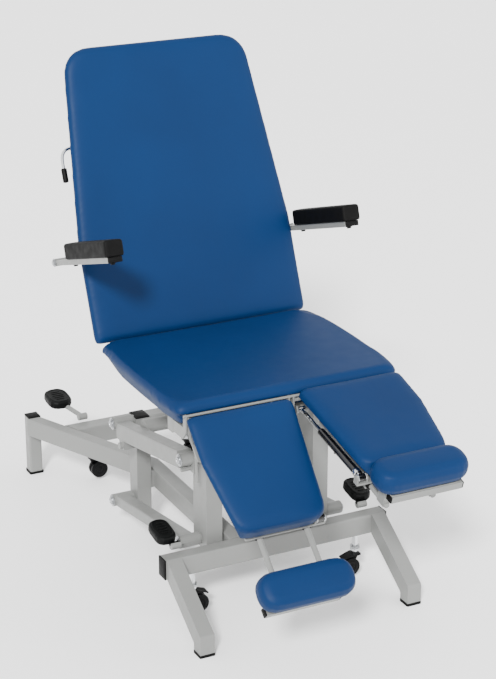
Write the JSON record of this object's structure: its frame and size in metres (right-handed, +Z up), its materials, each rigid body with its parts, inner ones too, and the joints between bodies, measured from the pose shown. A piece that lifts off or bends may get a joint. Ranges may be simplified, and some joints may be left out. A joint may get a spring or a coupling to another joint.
{
  "type": "medical exam table",
  "caption": "Height-adjustable treatment table with reclining back, split swinging leg sections, sliding foot supports, folding armrests, pedals and castors.",
  "frame": {"origin": "centre of the whole outline on the floor, backrest and leg sections as pictured", "axes": "+X to the table's right-hand side seen from the foot end, +Y towards the head end, +Z up"},
  "size_m": [0.708, 1.5299, 1.3019],
  "materials": {
    "frame_paint": "light warm grey powder coat, fine satin texture",
    "upholstery": "blue easy-clean artificial leather, fine grain, soft sheen",
    "arm_pad": "black moulded foam skin, matt",
    "foot_rubber": "black, matt",
    "pedal": "black moulded plastic, matt",
    "castor_plastic": "black nylon, satin",
    "actuator_housing": "dark grey moulded housing",
    "strut_barrel": "black gloss enamel",
    "chrome": "polished"
  },
  "bodies": {
    "base": {"front_cross_beam": "frame_paint", "rear_cross_beam": "frame_paint", "front_leg_left": "frame_paint", "side_beam_left": "frame_paint", "rear_leg_left": "frame_paint", "front_foot_left": "foot_rubber", "rear_foot_left": "foot_rubber", "front_leg_right": "frame_paint", "side_beam_right": "frame_paint", "rear_leg_right": "frame_paint", "front_foot_right": "foot_rubber", "rear_foot_right": "foot_rubber"},
    "lower_links": {"lower_link_left": "frame_paint", "lower_link_right": "frame_paint"},
    "upper_links": {"upper_link_left": "frame_paint", "upper_link_right": "frame_paint", "lift_tube": "frame_paint"},
    "carriage": {"lift_column_left": "frame_paint", "lift_column_right": "frame_paint", "seat_frame": "frame_paint", "seat_pad": "upholstery"},
    "actuator_barrel": {"actuator_barrel": "actuator_housing"},
    "actuator_rod": {"actuator_rod": "chrome"},
    "backrest": {"back_pad": "upholstery", "back_frame": "frame_paint"},
    "back_strut_barrel": {"back_strut_barrel": "strut_barrel"},
    "back_strut_rod": {"back_strut_rod": "chrome"},
    "back_lever": {"back_lever": "chrome"},
    "leg_left": {"leg_pad_left": "upholstery", "leg_frame_left": "frame_paint"},
    "foot_left": {"foot_pad_left": "upholstery", "foot_frame_left": "frame_paint"},
    "leg_strut_barrel_left": {"leg_strut_barrel_left": "strut_barrel"},
    "leg_strut_rod_left": {"leg_strut_rod_left": "chrome"},
    "arm_left": {"arm_pad_left": "arm_pad", "arm_bar_left": "frame_paint"},
    "leg_right": {"leg_pad_right": "upholstery", "leg_frame_right": "frame_paint"},
    "foot_right": {"foot_pad_right": "upholstery", "foot_frame_right": "frame_paint"},
    "leg_strut_barrel_right": {"leg_strut_barrel_right": "strut_barrel"},
    "leg_strut_rod_right": {"leg_strut_rod_right": "chrome"},
    "arm_right": {"arm_pad_right": "arm_pad", "arm_bar_right": "frame_paint"},
    "pedal_front_left": {"pedal_front_left": "pedal"},
    "pedal_front_right": {"pedal_front_right": "pedal"},
    "pedal_rear_left": {"pedal_rear_left": "pedal"},
    "pedal_rear_right": {"pedal_rear_right": "pedal"},
    "castor_stem_front_left": {"castor_stem_front_left": "chrome"},
    "castor_yoke_front_left": {"castor_yoke_front_left": "castor_plastic"},
    "castor_wheels_front_left": {"castor_wheels_front_left": "castor_plastic"},
    "castor_stem_front_right": {"castor_stem_front_right": "chrome"},
    "castor_yoke_front_right": {"castor_yoke_front_right": "castor_plastic"},
    "castor_wheels_front_right": {"castor_wheels_front_right": "castor_plastic"},
    "castor_stem_rear_left": {"castor_stem_rear_left": "chrome"},
    "castor_yoke_rear_left": {"castor_yoke_rear_left": "castor_plastic"},
    "castor_wheels_rear_left": {"castor_wheels_rear_left": "castor_plastic"},
    "castor_stem_rear_right": {"castor_stem_rear_right": "chrome"},
    "castor_yoke_rear_right": {"castor_yoke_rear_right": "castor_plastic"},
    "castor_wheels_rear_right": {"castor_wheels_rear_right": "castor_plastic"}
  },
  "joints": [
    {"name": "lift", "type": "hinge", "parent": "base", "child": "lower_links", "pos_m": [0, 0.2357, 0.097], "axis": [-1, 0, 0], "range_deg": [-13, 42]},
    {"name": "upper_link_swing", "type": "hinge", "parent": "base", "child": "upper_links", "pos_m": [0, 0.2237, 0.329], "axis": [-1, 0, 0], "range_deg": [-13, 42]},
    {"name": "carriage_level", "type": "hinge", "parent": "lower_links", "child": "carriage", "pos_m": [0, -0.19703, 0.16476], "axis": [-1, 0, 0], "range_deg": [-42, 13]},
    {"name": "actuator_swing", "type": "hinge", "parent": "base", "child": "actuator_barrel", "pos_m": [0, -0.2273, 0.15], "axis": [-1, 0, 0], "range_deg": [-5.9, 1.9]},
    {"name": "actuator_stroke", "type": "slide", "parent": "actuator_barrel", "child": "actuator_rod", "axis": [0, 0.8678, 0.4969], "range_m": [-0.0197, 0.0632]},
    {"name": "back_tilt", "type": "hinge", "parent": "carriage", "child": "backrest", "pos_m": [0, 0.1537, 0.574], "axis": [1, 0, 0], "range_deg": [-67.6, 7.4]},
    {"name": "back_strut_swing", "type": "hinge", "parent": "carriage", "child": "back_strut_barrel", "pos_m": [0.06, 0.1577, 0.44], "axis": [1, 0, 0], "range_deg": [-43.95, 4.82]},
    {"name": "back_strut_stroke", "type": "slide", "parent": "back_strut_barrel", "child": "back_strut_rod", "axis": [0, 0.41, 0.9121], "range_m": [-0.1082, 0.0119]},
    {"name": "back_lever_pull", "type": "hinge", "parent": "backrest", "child": "back_lever", "pos_m": [-0.245, 0.39302, 1.0523], "axis": [1, 0, 0], "range_deg": [0, 20], "stiffness_Nm_per_rad": 0.6},
    {"name": "leg_left_tilt", "type": "hinge", "parent": "carriage", "child": "leg_left", "pos_m": [-0.15, -0.3543, 0.568], "axis": [1, 0, 0], "range_deg": [-43, 27]},
    {"name": "leg_strut_left_swing", "type": "hinge", "parent": "leg_left", "child": "leg_strut_barrel_left", "pos_m": [-0.034, -0.57264, 0.35346], "axis": [1, 0, 0], "range_deg": [-1.55, 0.99]},
    {"name": "leg_strut_left_stroke", "type": "slide", "parent": "leg_strut_barrel_left", "child": "leg_strut_rod_left", "axis": [0, 0.7726, 0.6349], "range_m": [-0.01293, 0.02053]},
    {"name": "foot_left_slide", "type": "slide", "parent": "leg_left", "child": "foot_left", "axis": [0, -0.7314, -0.682], "range_m": [-0.104, 0.046]},
    {"name": "arm_left_fold", "type": "hinge", "parent": "backrest", "child": "arm_left", "pos_m": [-0.33, 0.3027, 0.777], "axis": [-1, 0, 0], "range_deg": [0, 94]},
    {"name": "leg_right_tilt", "type": "hinge", "parent": "carriage", "child": "leg_right", "pos_m": [0.15, -0.3543, 0.568], "axis": [1, 0, 0], "range_deg": [-16, 54]},
    {"name": "leg_strut_right_swing", "type": "hinge", "parent": "leg_right", "child": "leg_strut_barrel_right", "pos_m": [0.034, -0.64624, 0.47597], "axis": [1, 0, 0], "range_deg": [-0.69, 2.21]},
    {"name": "leg_strut_right_stroke", "type": "slide", "parent": "leg_strut_barrel_right", "child": "leg_strut_rod_right", "axis": [0, 0.9795, 0.2013], "range_m": [-0.02575, 0.0077]},
    {"name": "foot_right_slide", "type": "slide", "parent": "leg_right", "child": "foot_right", "axis": [0, -0.9613, -0.2756], "range_m": [0, 0.15]},
    {"name": "arm_right_fold", "type": "hinge", "parent": "backrest", "child": "arm_right", "pos_m": [0.33, 0.3027, 0.777], "axis": [-1, 0, 0], "range_deg": [0, 94]},
    {"name": "pedal_front_left_press", "type": "hinge", "parent": "base", "child": "pedal_front_left", "pos_m": [-0.266, -0.2513, 0.189], "axis": [-1, 0, 0], "range_deg": [0, 18]},
    {"name": "pedal_front_right_press", "type": "hinge", "parent": "base", "child": "pedal_front_right", "pos_m": [0.266, -0.2513, 0.189], "axis": [-1, 0, 0], "range_deg": [0, 18]},
    {"name": "pedal_rear_left_press", "type": "hinge", "parent": "base", "child": "pedal_rear_left", "pos_m": [-0.166, 0.6137, 0.189], "axis": [-1, 0, 0], "range_deg": [0, 18]},
    {"name": "pedal_rear_right_press", "type": "hinge", "parent": "base", "child": "pedal_rear_right", "pos_m": [0.166, 0.6137, 0.189], "axis": [-1, 0, 0], "range_deg": [0, 18]},
    {"name": "castor_front_left_drop", "type": "slide", "parent": "base", "child": "castor_stem_front_left", "axis": [0, 0, -1], "range_m": [0, 0.012]},
    {"name": "castor_front_left_swivel", "type": "hinge", "parent": "castor_stem_front_left", "child": "castor_yoke_front_left", "pos_m": [-0.234, -0.2788, 0.062], "axis": [0, 0, 1], "continuous": true},
    {"name": "castor_front_left_spin", "type": "hinge", "parent": "castor_yoke_front_left", "child": "castor_wheels_front_left", "pos_m": [-0.218, -0.2788, 0.033], "axis": [0, 1, 0], "continuous": true},
    {"name": "castor_front_right_drop", "type": "slide", "parent": "base", "child": "castor_stem_front_right", "axis": [0, 0, -1], "range_m": [0, 0.012]},
    {"name": "castor_front_right_swivel", "type": "hinge", "parent": "castor_stem_front_right", "child": "castor_yoke_front_right", "pos_m": [0.234, -0.2788, 0.062], "axis": [0, 0, 1], "continuous": true},
    {"name": "castor_front_right_spin", "type": "hinge", "parent": "castor_yoke_front_right", "child": "castor_wheels_front_right", "pos_m": [0.218, -0.2788, 0.033], "axis": [0, 1, 0], "continuous": true},
    {"name": "castor_rear_left_drop", "type": "slide", "parent": "base", "child": "castor_stem_rear_left", "axis": [0, 0, -1], "range_m": [0, 0.012]},
    {"name": "castor_rear_left_swivel", "type": "hinge", "parent": "castor_stem_rear_left", "child": "castor_yoke_rear_left", "pos_m": [-0.15, 0.5817, 0.062], "axis": [0, 0, 1], "continuous": true},
    {"name": "castor_rear_left_spin", "type": "hinge", "parent": "castor_yoke_rear_left", "child": "castor_wheels_rear_left", "pos_m": [-0.134, 0.5817, 0.033], "axis": [0, 1, 0], "continuous": true},
    {"name": "castor_rear_right_drop", "type": "slide", "parent": "base", "child": "castor_stem_rear_right", "axis": [0, 0, -1], "range_m": [0, 0.012]},
    {"name": "castor_rear_right_swivel", "type": "hinge", "parent": "castor_stem_rear_right", "child": "castor_yoke_rear_right", "pos_m": [0.15, 0.5817, 0.062], "axis": [0, 0, 1], "continuous": true},
    {"name": "castor_rear_right_spin", "type": "hinge", "parent": "castor_yoke_rear_right", "child": "castor_wheels_rear_right", "pos_m": [0.166, 0.5817, 0.033], "axis": [0, 1, 0], "continuous": true}
  ],
  "couplings": [
    {"joint": "upper_link_swing", "follows": "lift", "ratio": 1},
    {"joint": "carriage_level", "follows": "lift", "ratio": -1},
    {"joint": "actuator_swing", "follows": "lift", "ratio": -0.14},
    {"joint": "actuator_stroke", "follows": "lift", "m_per_rad": 0.085944},
    {"joint": "back_strut_swing", "follows": "back_tilt", "ratio": 0.65},
    {"joint": "back_strut_stroke", "follows": "back_tilt", "m_per_rad": 0.091673},
    {"joint": "leg_strut_left_swing", "follows": "leg_left_tilt", "ratio": 0.035},
    {"joint": "leg_strut_left_stroke", "follows": "leg_left_tilt", "m_per_rad": -0.027215},
    {"joint": "leg_strut_right_swing", "follows": "leg_right_tilt", "ratio": 0.04},
    {"joint": "leg_strut_right_stroke", "follows": "leg_right_tilt", "m_per_rad": -0.027215},
    {"joint": "pedal_front_right_press", "follows": "pedal_front_left_press", "ratio": 1},
    {"joint": "pedal_rear_right_press", "follows": "pedal_rear_left_press", "ratio": 1},
    {"joint": "castor_front_left_drop", "follows": "pedal_front_left_press", "m_per_rad": 0.038197},
    {"joint": "castor_front_right_drop", "follows": "pedal_front_left_press", "m_per_rad": 0.038197},
    {"joint": "castor_rear_left_drop", "follows": "pedal_rear_left_press", "m_per_rad": 0.038197},
    {"joint": "castor_rear_right_drop", "follows": "pedal_rear_left_press", "m_per_rad": 0.038197}
  ]
}
